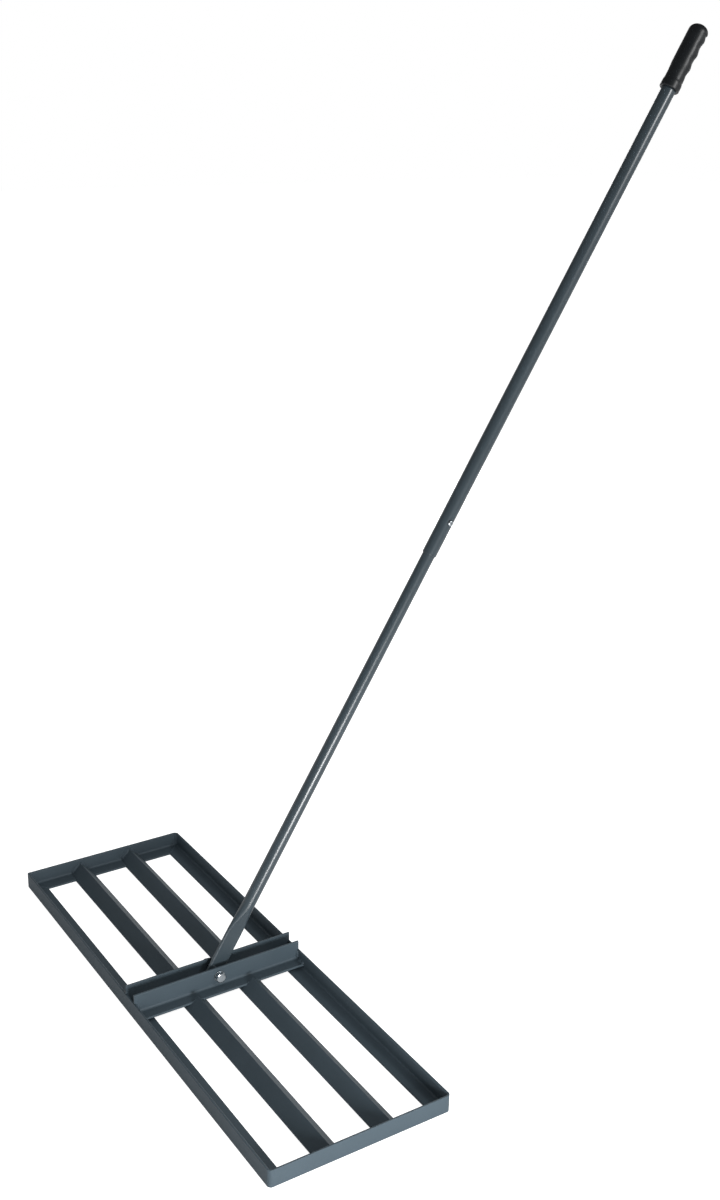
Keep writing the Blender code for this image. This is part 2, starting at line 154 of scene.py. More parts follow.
def makeCoatGroup():
    # sprayed coat: cloudy patches, orange peel and a fine grit
    group, given, result = newGroup(
        "coatSurface",
        (
            ("Vector", "Vector", None),
            ("Colour", "Color", (0.05, 0.06, 0.07, 1)),
            ("Thin Colour", "Color", (0.06, 0.07, 0.08, 1)),
            ("Patch Size", "Float", 0.06),
            ("Peel Size", "Float", 0.0016),
            ("Roughness", "Float", 0.45),
            ("Roughness Swing", "Float", 0.1),
        ),
        (("Colour", "Color"), ("Roughness", "Float"), ("Height", "Float")),
    )
    where = given["Vector"]
    patches = noiseAt(group, where, given["Patch Size"], 3.0)
    peel = noiseAt(group, where, given["Peel Size"])
    grit = noiseAt(group, where, sums(group, "MULTIPLY", given["Peel Size"], 0.3), 1.0)
    cloud = sums(group, "MULTIPLY", patches, 0.75)
    share = sums(group, "ADD", cloud, sums(group, "MULTIPLY", grit, 0.25))
    feed(group, result["Colour"], mixColour(group, share, given["Colour"], given["Thin Colour"]))
    swing = sums(group, "MULTIPLY", sums(group, "SUBTRACT", patches, 0.5), given["Roughness Swing"])
    feed(group, result["Roughness"], sums(group, "ADD", given["Roughness"], swing))
    feed(group, result["Height"], sums(group, "ADD", peel, sums(group, "MULTIPLY", grit, 0.25)))
    return group


def makeScuffGroup():
    # fine rubbed lines and specks that show a paler, duller surface
    group, given, result = newGroup(
        "handlingScuffs",
        (
            ("Vector", "Vector", None),
            ("Colour", "Color", (0.05, 0.06, 0.07, 1)),
            ("Scuff Colour", "Color", (0.2, 0.2, 0.2, 1)),
            ("Roughness", "Float", 0.4),
            ("Scuff Roughness", "Float", 0.6),
            ("Line Size", "Float", 0.02),
            ("Amount", "Float", 0.3),
        ),
        (("Colour", "Color"), ("Roughness", "Float"), ("Mask", "Float")),
    )
    drawn = addNode(group, "Mapping", Scale=(1.0, 1.0, 0.12), Rotation=(0.5, 0.3, 0.2))
    feed(group, drawn.inputs["Vector"], given["Vector"])
    lines = noiseAt(group, drawn.outputs[0], sums(group, "MULTIPLY", given["Line Size"], 0.03), 3.0)
    places = noiseAt(group, given["Vector"], given["Line Size"], 2.0)
    mask = sums(group, "MULTIPLY", steep(group, lines, 0.60, 0.72), steep(group, places, 0.5, 0.68))
    mask = sums(group, "MULTIPLY", mask, given["Amount"])
    feed(group, result["Colour"], mixColour(group, mask, given["Colour"], given["Scuff Colour"]))
    change = sums(group, "SUBTRACT", given["Scuff Roughness"], given["Roughness"])
    change = sums(group, "MULTIPLY", mask, change)
    feed(group, result["Roughness"], sums(group, "ADD", given["Roughness"], change))
    feed(group, result["Mask"], mask)
    return group


coatGroup = makeCoatGroup()
scuffGroup = makeScuffGroup()


def placeGroup(tree, group, values):
    node = tree.nodes.new("ShaderNodeGroup")
    node.node_tree = group
    for key, value in values.items():
        feed(tree, node.inputs[key], value)
    return node.outputs


def makeFinish(name, look):
    paint = bpy.data.materials.new(name)
    paint.use_nodes = True
    tree = paint.node_tree
    surface = tree.nodes["Principled BSDF"].inputs
    where = addNode(tree, "TexCoord").outputs["Object"]
    coat = placeGroup(tree, coatGroup, {
        "Vector": where,
        "Colour": look["colour"],
        "Thin Colour": look["thinColour"],
        "Patch Size": look["patchSize"],
        "Peel Size": look["peelSize"],
        "Roughness": look["roughness"],
        "Roughness Swing": look["roughnessSwing"],
    })
    scuffs = placeGroup(tree, scuffGroup, {
        "Vector": where,
        "Colour": coat["Colour"],
        "Roughness": coat["Roughness"],
        "Scuff Colour": look["scuffColour"],
        "Scuff Roughness": look["scuffRoughness"],
        "Line Size": look["lineSize"],
        "Amount": look["scuffs"],
    })
    bump = addNode(tree, "Bump", Strength=look["bump"], Distance=look["depth"])
    feed(tree, bump.inputs["Height"], coat["Height"])
    feed(tree, surface["Base Color"], scuffs["Colour"])
    feed(tree, surface["Roughness"], scuffs["Roughness"])
    feed(tree, surface["Normal"], bump.outputs[0])
    surface["Metallic"].default_value = look["metallic"]
    surface["Specular IOR Level"].default_value = look["specular"]
    return paint


headCoat = {
    "colour": (0.037, 0.054, 0.067, 1),
    "thinColour": (0.050, 0.072, 0.089, 1),
    "patchSize": 0.05,
    "peelSize": 0.0018,
    "roughness": 0.58,
    "roughnessSwing": 0.12,
    "bump": 0.6,
    "depth": 0.00016,
    "metallic": 0.0,
    "specular": 0.3,
    "scuffColour": (0.078, 0.100, 0.118, 1),
    "scuffRoughness": 0.6,
    "lineSize": 0.03,
    "scuffs": 0.26,
}
tubeCoat = dict(
    headCoat,
    colour=(0.029, 0.041, 0.049, 1),
    thinColour=(0.040, 0.056, 0.068, 1),
    roughness=0.29,
    roughnessSwing=0.05,
    specular=0.5,
    peelSize=0.004,
    bump=0.03,
    depth=0.00002,
    scuffColour=(0.060, 0.078, 0.092, 1),
    scuffRoughness=0.30,
    scuffs=0.06,
)
zincPlate = dict(
    headCoat,
    colour=(0.36, 0.40, 0.43, 1),
    thinColour=(0.46, 0.50, 0.53, 1),
    patchSize=0.006,
    peelSize=0.0006,
    roughness=0.24,
    roughnessSwing=0.16,
    bump=0.15,
    depth=0.00003,
    metallic=1.0,
    specular=0.5,
    scuffColour=(0.38, 0.39, 0.40, 1),
    scuffRoughness=0.5,
    lineSize=0.006,
    scuffs=0.6,
)
gripBlack = dict(
    headCoat,
    colour=(0.0050, 0.0066, 0.0080, 1),
    thinColour=(0.0084, 0.0105, 0.0124, 1),
    patchSize=0.02,
    peelSize=0.0007,
    roughness=0.40,
    roughnessSwing=0.12,
    bump=0.5,
    depth=0.00010,
    specular=0.34,
    scuffColour=(0.024, 0.027, 0.030, 1),
    lineSize=0.01,
    scuffs=0.4,
)
nylonWhite = dict(
    gripBlack,
    colour=(0.62, 0.63, 0.60, 1),
    thinColour=(0.70, 0.70, 0.68, 1),
    roughness=0.4,
    scuffColour=(0.45, 0.45, 0.43, 1),
)

finishes = {
    "head_coating": makeFinish("head_coat", headCoat),
    "handle_coating": makeFinish("tube_coat", tubeCoat),
    "zinc_plate": makeFinish("bright_zinc", zincPlate),
    "grip_rubber": makeFinish("grip_black", gripBlack),
}
nylonFinish = makeFinish("nylon_white", nylonWhite)
print("finishes made")


# mesh helpers

hardEdge = math.radians(32)


def makeAngleShading(limit):
    # smooth faces, sharp edges where the surface turns by more than limit
    group = bpy.data.node_groups.new("angleShading", "GeometryNodeTree")
    for side in ("INPUT", "OUTPUT"):
        group.interface.new_socket("Geometry", in_out=side, socket_type="NodeSocketGeometry")
    start, end = group.nodes.new("NodeGroupInput"), group.nodes.new("NodeGroupOutput")
    soft = group.nodes.new("GeometryNodeSetShadeSmooth")
    hard = group.nodes.new("GeometryNodeSetShadeSmooth")
    hard.domain = "EDGE"
    hard.inputs["Shade Smooth"].default_value = False
    angle = group.nodes.new("GeometryNodeInputMeshEdgeAngle")
    over = group.nodes.new("FunctionNodeCompare")
    over.operation = "GREATER_THAN"
    over.inputs[1].default_value = limit
    link = group.links.new
    link(start.outputs[0], soft.inputs["Geometry"])
    link(soft.outputs[0], hard.inputs["Geometry"])
    link(angle.outputs["Unsigned Angle"], over.inputs[0])
    link(over.outputs[0], hard.inputs["Selection"])
    link(hard.outputs[0], end.inputs[0])
    return group


angleShading = makeAngleShading(hardEdge)


def easeEdges(piece, width, steps=2):
    # small rounding along the hard edges, then normals that keep flat faces flat
    if width:
        ease = piece.modifiers.new("eased edges", "BEVEL")
        ease.width, ease.segments = width, steps
        ease.limit_method, ease.angle_limit = "ANGLE", hardEdge
        ease.use_clamp_overlap = True
    piece.modifiers.new("shading", "NODES").node_group = angleShading
    normals = piece.modifiers.new("flat faces", "WEIGHTED_NORMAL")
    normals.keep_sharp = True


def dress(piece, body, finish, replaced=(), ease=0.0, paint=None):
    piece.data.materials.clear()
    piece.data.materials.append(paint or finishes[finish])
    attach(piece, body)
    if replaced:
        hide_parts(*replaced)
    easeEdges(piece, ease)
    return piece


def newPiece(name, work, place=None):
    bmesh.ops.recalc_face_normals(work, faces=work.faces)
    mesh = bpy.data.meshes.new(name)
    work.to_mesh(mesh)
    work.free()
    if place:
        mesh.transform(place)
    piece = bpy.data.objects.new(name, mesh)
    scene.collection.objects.link(piece)
    return piece


def addSkin(work, rings, around=False):
    # joins rings of equal counts; around closes last to first, otherwise both ends are capped
    loops = [[work.verts.new(point) for point in ring] for ring in rings]
    following = loops[1:] + (loops[:1] if around else [])
    for lower, upper in zip(loops, following):
        for index in range(len(lower)):
            after = (index + 1) % len(lower)
            work.faces.new((lower[index], lower[after], upper[after], upper[index]))
    if not around:
        work.faces.new(loops[0])
        work.faces.new(loops[-1])


def pointAt(radius, turn, height):
    return Vector((radius * math.cos(turn), radius * math.sin(turn), height))


def fullTurns(sides):
    return [2 * math.pi * index / sides for index in range(sides)]


def quarterTurns(steps):
    return [math.pi / 2 * step / steps for step in range(steps + 1)]


def circle(radius, height, sides):
    return [pointAt(radius, turn, height) for turn in fullTurns(sides)]


def turnedPiece(name, profile, sides, place, around=False):
    # (radius, height) points; around is a ring whose profile closes on itself
    work = bmesh.new()
    addSkin(work, [circle(radius, height, sides) for radius, height in profile], around)
    return newPiece(name, work, place)


def cutAway(piece, cutter):
    # takes the cutter's shape out for good, and the cutter with it
    step = piece.modifiers.new("cut", "BOOLEAN")
    step.object, step.solver = cutter, "EXACT"
    view = bpy.context.evaluated_depsgraph_get()
    mesh = bpy.data.meshes.new_from_object(piece.evaluated_get(view))
    piece.modifiers.clear()
    piece.data = mesh
    mesh.name = piece.name
    bpy.data.objects.remove(cutter, do_unlink=True)


# frame, ridge bars and bracket stay as they are and get eased edges

steelAngles = {
    "weld": 0.00001,    # joins the points that the model splits at its hard edges
    "flat": math.radians(0.5),    # faces that turn by less become one
    "ease": 0.00025,
    "nodes": (
        "left_rail", "right_rail", "near_end_rail", "far_end_rail",
        "ridge_bar_left", "ridge_bar_right", "bracket_front_angle", "bracket_rear_angle",
    ),
}
for name in steelAngles["nodes"]:
    piece = nodes[name]
    piece.data.materials.clear()
    piece.data.materials.append(finishes["head_coating"])
    joined = piece.modifiers.new("joined points", "WELD")
    joined.merge_threshold = steelAngles["weld"]
    flats = piece.modifiers.new("whole faces", "DECIMATE")
    flats.decimate_type = "DISSOLVE"
    flats.angle_limit = steelAngles["flat"]
    easeEdges(piece, steelAngles["ease"])
print("steel angles dressed")


# lower tube

lowerTube = {
    "radius": 0.009,
    "flatHalf": 0.0026,    # half the thickness of the pressed end
    "flatTop": 0.055,
    "roundFrom": 0.105,
    "sides": 96,
    "pressSteps": 22,
    "endSteps": 22,
    "thinnest": 0.04,    # square of the rim's thinnest share
    "boltHole": 0.0043,
    "drillHalf": 0.02,
}


def pressedRing(look, half, height, reach=None):
    # a tube's outline pressed to a half thickness; reach narrows it at the round end
    radius = look["radius"]
    flat = math.pi * (radius - half) / 2
    corner = half
    if reach is not None:
        flat, corner = max(reach - half, 0), min(half, reach)
    ring = []
    for index in range(look["sides"]):
        turn = 2 * math.pi * (index + 0.5) / look["sides"]
        shift = math.copysign(flat, math.sin(turn))
        ring.append(Vector((half * math.cos(turn), corner * math.sin(turn) + shift, height)))
    return ring


def makeLowerTube(look):
    flatHalf, radius = look["flatHalf"], look["radius"]
    reach = math.pi * (radius - flatHalf) / 2 + flatHalf
    rings = []
    for step in range(look["endSteps"], 0, -1):    # round end, its rim rounded over
        height = reach * math.sin(math.pi / 2 * step / (look["endSteps"] + 0.5))
        rim = max(height - (reach - flatHalf), 0) / flatHalf
        half = flatHalf * math.sqrt(max(1 - rim * rim, look["thinnest"]))
        rings.append(pressedRing(look, half, -height, math.sqrt(reach * reach - height * height)))
    rings.append(pressedRing(look, flatHalf, 0))
    for step in range(look["pressSteps"] + 1):
        share = step / look["pressSteps"]
        height = look["flatTop"] + (look["roundFrom"] - look["flatTop"]) * share
        opened = share * share * (3 - 2 * share)
        rings.append(pressedRing(look, flatHalf + (radius - flatHalf) * opened, height))
    rings.append(pressedRing(look, radius, handleSpan("lower_tube")[1]))
    work = bmesh.new()
    addSkin(work, rings)
    piece = newPiece("handle_lower_tube", work, handleFrame)
    across = handleFrame @ Matrix.Rotation(math.pi / 2, 4, "Y")
    drill = [(look["boltHole"], end) for end in (-look["drillHalf"], look["drillHalf"])]
    cutAway(piece, turnedPiece("hole", drill, look["sides"] // 2, across))
    return piece


dress(makeLowerTube(lowerTube), "handle", "handle_coating", ("lower_tube",))


# upper tube

upperTube = {
    "radius": 0.0102,
    "bore": 0.0093,
    "sides": 96,
    "mouth": 0.0006,    # rounding of the lower end
    "mouthSteps": 5,
    "lip": 0.02,
}


def makeUpperTube(look):
    low, high = handleSpan("upper_tube")
    radius, bore, mouth = look["radius"], look["bore"], look["mouth"]
    profile = [(bore, high), (radius, high)]
    profile += [
        (radius - mouth * (1 - math.cos(turn)), low + mouth * (1 - math.sin(turn)))
        for turn in quarterTurns(look["mouthSteps"])
    ]
    profile += [(bore, low), (bore, low + look["lip"])]
    return turnedPiece("handle_upper_tube", profile, look["sides"], handleFrame, around=True)


dress(makeUpperTube(upperTube), "handle", "handle_coating", ("upper_tube",))
print("tubes made")


# grip

grip = {
    "radius": 0.014,
    "bore": 0.0105,
    "dome": 0.010,
    "rim": 0.001,
    "waist": (1.3665, 1.3715, 1.380, 1.395),    # heights where it starts, is full, ends
    "waistDepth": 0.0008,
    "grooves": (    # height, width and depth of each finger's groove
        (1.383, 0.0195, 0.0018),
        (1.404, 0.0195, 0.0018),
        (1.425, 0.0195, 0.0018),
        (1.4412, 0.009, 0.0014),
    ),
    "grooveOffset": 0.0015,
    "grooveReach": 0.6,    # share of its width to which a groove is worked out
    "soften": 0.0003,
    "socket": 0.012,
    "crown": 0.0002,
    "sides": 96,
    "rings": 170,
}


def gripRadius(look, low, high, height, turn):
    radius = look["radius"]
    start, full, end, clear = look["waist"]
    if start < height < clear:
        share = min((height - start) / (full - start), (clear - height) / (clear - end), 1)
        radius -= look["waistDepth"] * share * share * (3 - 2 * share)
    rise = height - (high - look["dome"])
    if rise > 0:
        radius -= look["dome"] - math.sqrt(max(look["dome"] ** 2 - rise * rise, 0))
    drop = low + look["rim"] - height
    if drop > 0:
        radius -= look["rim"] - math.sqrt(max(look["rim"] ** 2 - drop * drop, 0))
    for middle, width, depth in look["grooves"]:
        away = abs(height - middle)
        if away > width * look["grooveReach"]:
            continue
        bend = (width * width / 4 + depth * depth) / (2 * depth)
        hollow = look["radius"] + look["grooveOffset"] - depth
        hollow += bend - math.sqrt(bend * bend - away * away)
        beside = look["grooveOffset"]
        found = math.sqrt(hollow * hollow - (beside * math.cos(turn)) ** 2) - beside * math.sin(turn)
        apart = radius - found
        radius -= (apart + math.sqrt(apart * apart + look["soften"] ** 2)) / 2
    return radius


def makeGrip(look):
    low, high = handleSpan("grip")
    bore, sides = look["bore"], look["sides"]
    heights = [low + (high - low) * math.sin(turn) for turn in quarterTurns(look["rings"])[:-1]]
    rings = [circle(bore, low + look["socket"], sides), circle(bore, low, sides)]
    for height in heights + [high - look["crown"], high]:
        rings.append([
            pointAt(gripRadius(look, low, high, height, turn), turn, height)
            for turn in fullTurns(sides)
        ])
    work = bmesh.new()
    addSkin(work, rings)
    return newPiece("handle_grip", work, handleFrame)


dress(makeGrip(grip), "handle", "grip_rubber", ("grip",))
print("grip made")


# fasteners

fastener = {
    "acrossFlats": 0.013,
    "chamferFrom": 0.95,    # share of the flats' half width that stays level
    "cornerTrim": 0.985,
    "chamfer": math.tan(math.radians(30)),
    "headHeight": 0.0053,
    "washerFace": 0.0004,
    "nutHeight": 0.0065,
    "collarRadius": 0.0058,
    "shank": 0.004,
    "length": 0.045,
    "tip": 0.0009,
    "threadLength": 0.022,
    "pitch": 0.00125,
    "threadDepth": 0.00065,
    "rowsPerTurn": 10,
    "fadeRows": 12,
    "sides": 72,
    "hole": 0.0043,
    "washerRim": 0.0003,
    "rimSteps": 4,
}
sideways = Matrix.Rotation(math.pi / 2, 4, "Y")


def onPivot(x, towards=1):
    # a frame whose Z lies along the pivot axis, away from the bracket's middle
    turn = sideways if towards > 0 else Matrix.Rotation(math.pi, 4, "Z") @ sideways
    return Matrix.Translation((x, pivot.y, pivot.z)) @ turn


def levelRadius(look):
    # the circle outside of which a hexagon's corners are chamfered
    return look["acrossFlats"] / 2 * look["chamferFrom"]


def hexRing(look, height, slope=0.0):
    # hexagon outline whose corners drop with slope outside that circle
    limit = look["acrossFlats"] / math.sqrt(3) * look["cornerTrim"]
    ring = []
    for turn in fullTurns(look["sides"]):
        off = (turn + math.pi / 6) % (math.pi / 3) - math.pi / 6
        radius = min(look["acrossFlats"] / 2 / math.cos(off), limit)
        ring.append(pointAt(radius, turn, height - max(radius - levelRadius(look), 0) * slope))
    return ring


def makeBolt(look):
    sides, shank, top = look["sides"], look["shank"], look["headHeight"]
    inner = levelRadius(look)
    rings = [circle(inner * 0.25, top + 0.0001, sides), circle(inner * 0.97, top, sides)]
    rings += [circle(inner, top, sides), hexRing(look, top, look["chamfer"])]
    rings.append(hexRing(look, look["washerFace"]))
    rings += [circle(inner, look["washerFace"], sides), circle(inner, 0, sides)]
    rings += [circle(shank + 0.0004, 0, sides), circle(shank, -0.0004, sides)]
    threadFrom, threadTo = look["length"] - look["threadLength"], look["length"]
    rings.append(circle(shank, -threadFrom, sides))
    count = int(look["threadLength"] / look["pitch"] * look["rowsPerTurn"])
    for row in range(1, count + 1):
        depthAt = threadFrom + look["threadLength"] * row / count
        fade = min(1, row / look["fadeRows"])
        point = max(depthAt - (threadTo - look["tip"]), 0)
        ring = []
        for index, turn in enumerate(fullTurns(sides)):
            phase = (depthAt / look["pitch"] - index / sides) % 1
            cut = min(max(abs(2 * phase - 1) * 1.25 - 0.12, 0), 1)    # flat crest, sloped flanks
            radius = shank - look["threadDepth"] * cut * fade
            ring.append(pointAt(min(radius, shank - point), turn, -depthAt))
        rings.append(ring)
    work = bmesh.new()
    addSkin(work, rings)
    return newPiece("pivot_hex_bolt", work, onPivot(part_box("pivot_bolt")[1].x - top))


def makeLockNut(look):
    sides, hole, collar, height = look["sides"], look["hole"], look["collarRadius"], look["nutHeight"]
    inner = levelRadius(look)
    low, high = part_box("pivot_lock_nut")
    total = high.x - low.x
    place = onPivot(high.x, -1)
    upsideDown = [Vector((point.x, point.y, -point.z)) for point in hexRing(look, 0, look["chamfer"])]
    rings = [circle(hole, 0, sides), circle(inner, 0, sides), upsideDown]
    rings += [hexRing(look, height, look["chamfer"]), circle(inner, height, sides)]
    for radius, level in (    # the collar that holds the nylon, its lip rolled inwards
        (collar, height + 0.0001), (collar, total - 0.0008),
        (collar - 0.0003, total - 0.0002), (collar - 0.0009, total),
        (collar - 0.0011, total - 0.0002), (collar - 0.0011, height),
        (hole, height),
    ):
        rings.append(circle(radius, level, sides))
    work = bmesh.new()
    addSkin(work, rings, around=True)
    nut = newPiece("pivot_nylon_nut", work, place)
    profile = [(collar - 0.00112, height), (collar - 0.00112, total - 0.0003), (hole + 0.0002, total - 0.0004)]
    profile += [(hole - 0.0002, total - 0.0008), (hole - 0.0002, height)]
    return nut, turnedPiece("nut_nylon_ring", profile, sides, place, around=True)


def makeWasher(name, node, look):
    low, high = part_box(node)
    half, radius, rim, hole = (high.x - low.x) / 2, (high.z - low.z) / 2, look["washerRim"], look["hole"]
    profile = [(hole, half - rim / 3), (hole + rim / 3, half)]
    for side in (1, -1):
        profile += [
            (radius - rim * (1 - math.sin(turn)), side * (half - rim * (1 - math.cos(turn))))
            for turn in quarterTurns(look["rimSteps"])[::side]
        ]
    profile += [(hole + rim / 3, -half), (hole, rim / 3 - half)]
    return turnedPiece(name, profile, look["sides"], onPivot((low.x + high.x) / 2), around=True)


dress(makeBolt(fastener), "head", "zinc_plate", ("pivot_bolt",))
nut, nylonRing = makeLockNut(fastener)
dress(nut, "head", "zinc_plate", ("pivot_lock_nut",))
dress(nylonRing, "head", "zinc_plate", paint=nylonFinish)
for node, name in (
    ("washer_front", "bolt_washer"), ("washer_rear", "nut_washer"),
    ("spacer_front", "front_bush"), ("spacer_rear", "rear_bush"),
):
    dress(makeWasher(name, node, fastener), "head", "zinc_plate", (node,))


# joint screw

jointScrew = {
    "headRadius": 0.004,
    "headHeight": 0.0026,
    "shank": 0.0023,
    "sides": 64,
    "crossWidth": 0.0009,
    "crossReach": 0.0021,
    "crossDepth": 0.0015,
    "crossSpin": 0.35,
    "domeFrom": 0.35,    # share of the head's height at which its dome starts
    "domeSteps": 10,
}


def makeJointScrew(look):
    low, high = handleSpan("joint_screw")
    end, top = (corner.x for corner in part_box("joint_screw"))
    shank, head, tall = look["shank"], look["headRadius"], look["headHeight"]
    seat = top - tall
    profile = [(shank * 0.3, end), (shank, end + 0.002), (shank, seat)]
    profile += [(head * 0.94, seat), (head, seat + tall * 0.1)]
    profile += [
        (head * math.cos(turn), seat + tall * (look["domeFrom"] + (1 - look["domeFrom"]) * math.sin(turn)))
        for turn in quarterTurns(look["domeSteps"])[:-1]
    ]
    place = handleFrame @ Matrix.Translation((0, 0, (low + high) / 2)) @ sideways
    screw = turnedPiece("tube_joint_screw", profile, look["sides"], place)
    for spin in (look["crossSpin"], look["crossSpin"] + math.pi / 2):    # two tapered blades
        work = bmesh.new()
        rings = []
        for height, reach, thick in ((top - look["crossDepth"], 0.35, 0.5), (top + 0.001, 1.25, 1.0)):
            x, y = look["crossReach"] * reach, look["crossWidth"] / 2 * thick
            rings.append([
                Vector((x * way, y * side, height))
                for way, side in ((1, 1), (-1, 1), (-1, -1), (1, -1))
            ])
        addSkin(work, rings)
        cutAway(screw, newPiece("blade", work, place @ Matrix.Rotation(spin, 4, "Z")))
    return screw


dress(makeJointScrew(jointScrew), "handle", "zinc_plate", ("joint_screw",))
print("fasteners made")


# weld beads, which lie under the same coat as the steel

bead = {
    "ripple": 0.0019,      # one ripple's length
    "swell": 0.055,        # how far a ripple stands out, as a share of the bead's leg
    "waver": 0.10,         # slow drift of the leg's size along the bead
    "waverSize": 260,      # waves of that drift per metre
    "bow": 0.55,           # how far a ripple's middle runs ahead, in ripples
    "runOut": 1.1,         # length of each end's taper, in legs
    "blunt": 0.03,         # square of the size that is left at the very end
    "sunk": 0.12,          # depth of the root below the surface, in legs
    "points": 9,
    "perRipple": 6,
}


def addBead(work, start, end, firstLeg, secondLeg, leg, bulge, seed, crown=None):
    # a run of weld from start to end, between toes along the two leg directions
    start, end = Vector(start), Vector(end)
    firstLeg, secondLeg = Vector(firstLeg).normalized(), Vector(secondLeg).normalized()
    out = Vector(crown).normalized() if crown else (firstLeg + secondLeg).normalized()
    length = (end - start).length
    count = max(int(length / bead["ripple"] * bead["perRipple"]), 12)
    rings = []
    for row in range(count + 1):
        along = length * row / count
        root = start + (end - start) * (row / count)
        near = min(along, length - along) / (leg * bead["runOut"])
        taper = math.sqrt(max(1 - (1 - min(near, 1)) ** 2, bead["blunt"]))
        drift = noise.noise(Vector((along * bead["waverSize"], seed * 7.3, 0))) * bead["waver"]
        ring = []
        for step in range(bead["points"]):
            share = step / (bead["points"] - 1)
            bow = bead["bow"] * (1 - (2 * share - 1) ** 2)
            wave = (along / bead["ripple"] + bow + seed) % 1
            swell = 1 + bead["swell"] * (1 - (2 * wave - 1) ** 2 - 0.5) * 2
            size = leg * taper * swell * (1 + drift)
            chord = firstLeg * (1 - share) * size + secondLeg * share * size
            ring.append(root + chord + out * bulge * taper * swell * math.sin(math.pi * share))
        ring.append(root - out * leg * bead["sunk"])
        rings.append(ring)
    addSkin(work, rings)


steel = 0.003
headLow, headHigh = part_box("left_rail")[0].copy(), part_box("right_rail")[1].copy()
headMiddle = (headLow.y + headHigh.y) / 2
halfLong, halfWide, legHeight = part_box("near_end_rail")[1].x, headHigh.y - headMiddle, headHigh.z
corners = ((1, -1), (1, 1), (-1, 1), (-1, -1))    # near front, near rear, far rear, far front
ridgeBars = ("ridge_bar_left", "ridge_bar_right")


cornerWelds = {
    "fillet": 0.0030,
    "bulge": 0.0003,
    "flat": 0.0021,    # half width of the bead on the flanges
    "crown": 0.0008,
    "belowTop": 0.0008,    # where the fillet stops short of the legs' top
    "fromRoot": 0.0016,    # where the flat bead starts, and stops short of the flanges' toes
    "beforeToe": 0.0012,
}


def makeCornerWelds(look):
    # inside each corner: a fillet up the two legs and a bead over the flanges' mitre
    work = bmesh.new()
    for index, (sx, sy) in enumerate(corners):
        inX, inY = sx * (halfLong - steel), headMiddle + sy * (halfWide - steel)
        addBead(work, (inX, inY, steel), (inX, inY, legHeight - look["belowTop"]), (-sx, 0, 0), (0, -sy, 0),
                look["fillet"], look["bulge"], seed=index * 1.7)
        toe = legHeight - steel - look["beforeToe"]
        first, last = ((inX - sx * off, inY - sy * off, steel) for off in (look["fromRoot"], toe))
        addBead(work, first, last, (sx, -sy, 0), (-sx, sy, 0), look["flat"], look["crown"],
                seed=index * 2.3 + 0.4, crown=(0, 0, 1))
    return newPiece("frame_corner_welds", work)


cornerFaces = {
    "radii": (0.006, 0.006, 0.0075, 0.002),    # one for each of the corners
    "steps": 20,
    "proud": 0.00008,
    "above": 0.00004,
    "past": 0.0004,    # how far it runs inwards past the legs
    "ease": 0.0005,
    "easeSteps": 3,
}


def makeCornerFaces(look):
    # the ground outside of each corner, smooth over the seam
    work = bmesh.new()
    ease, deep = look["ease"], steel + look["past"]
    turns = reversed(quarterTurns(look["easeSteps"]))
    eased = [(ease * (1 - math.sin(turn)), ease * (1 - math.cos(turn))) for turn in turns]
    eased += [(legHeight + look["above"] - height, shrink) for height, shrink in reversed(eased)]
    for (sx, sy), radius in zip(corners, look["radii"]):
        middle = Vector((sx * (halfLong - radius), headMiddle + sy * (halfWide - radius), 0))
        inner = Vector((sx * (halfLong - deep), headMiddle + sy * (halfWide - deep), 0))
        outline = []
        for turn in quarterTurns(look["steps"]):
            reach = radius + look["proud"] * math.sin(2 * turn)
            outline.append(middle + Vector((sx * math.cos(turn), sy * math.sin(turn), 0)) * reach)
        rings = []
        for height, shrink in eased:
            ring = [middle + (point - middle) * (1 - shrink / radius) for point in outline] + [inner]
            rings.append([point + Vector((0, 0, height)) for point in ring])
        addSkin(work, rings)
    return newPiece("frame_corner_faces", work)


barWelds = {
    "fillet": 0.0026,
    "bulge": 0.0003,
    "foot": 0.0042,    # height at which a bead starts, above the flanges
    "aside": 0.0004,    # its end beside and below the ridge
    "below": 0.0002,
}


def makeBarWelds(look):
    # each ridge bar's two slopes against the end rails' legs
    work = bmesh.new()
    for number, name in enumerate(ridgeBars):
        low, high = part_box(name)
        middle, peak = (low.y + high.y) / 2, high.z
        for sx in (1, -1):
            for side in (1, -1):
                x = sx * (halfLong - steel)
                start = (x, middle + side * (peak - look["foot"]), look["foot"])
                end = (x, middle + side * look["aside"], peak - look["below"])
                addBead(work, start, end, (0, side, 1), (-sx, 0, 0), look["fillet"], look["bulge"],
                        seed=number * 3.1 + sx + side * 0.3)
    return newPiece("ridge_bar_welds", work)


bracketWelds = {
    "fillet": 0.0026,
    "bulge": 0.0003,
    "onBar": 0.0078,    # half length of the bead on a ridge bar
    "offFlange": 0.0002,
    "fromWall": 0.0062,    # the bead along a long rail, from the wall to the flange's toe
    "beforeToe": 0.0006,
    "aboveDeck": 0.0012,    # the upright bead between wall and rail
    "belowTop": 0.0006,
}


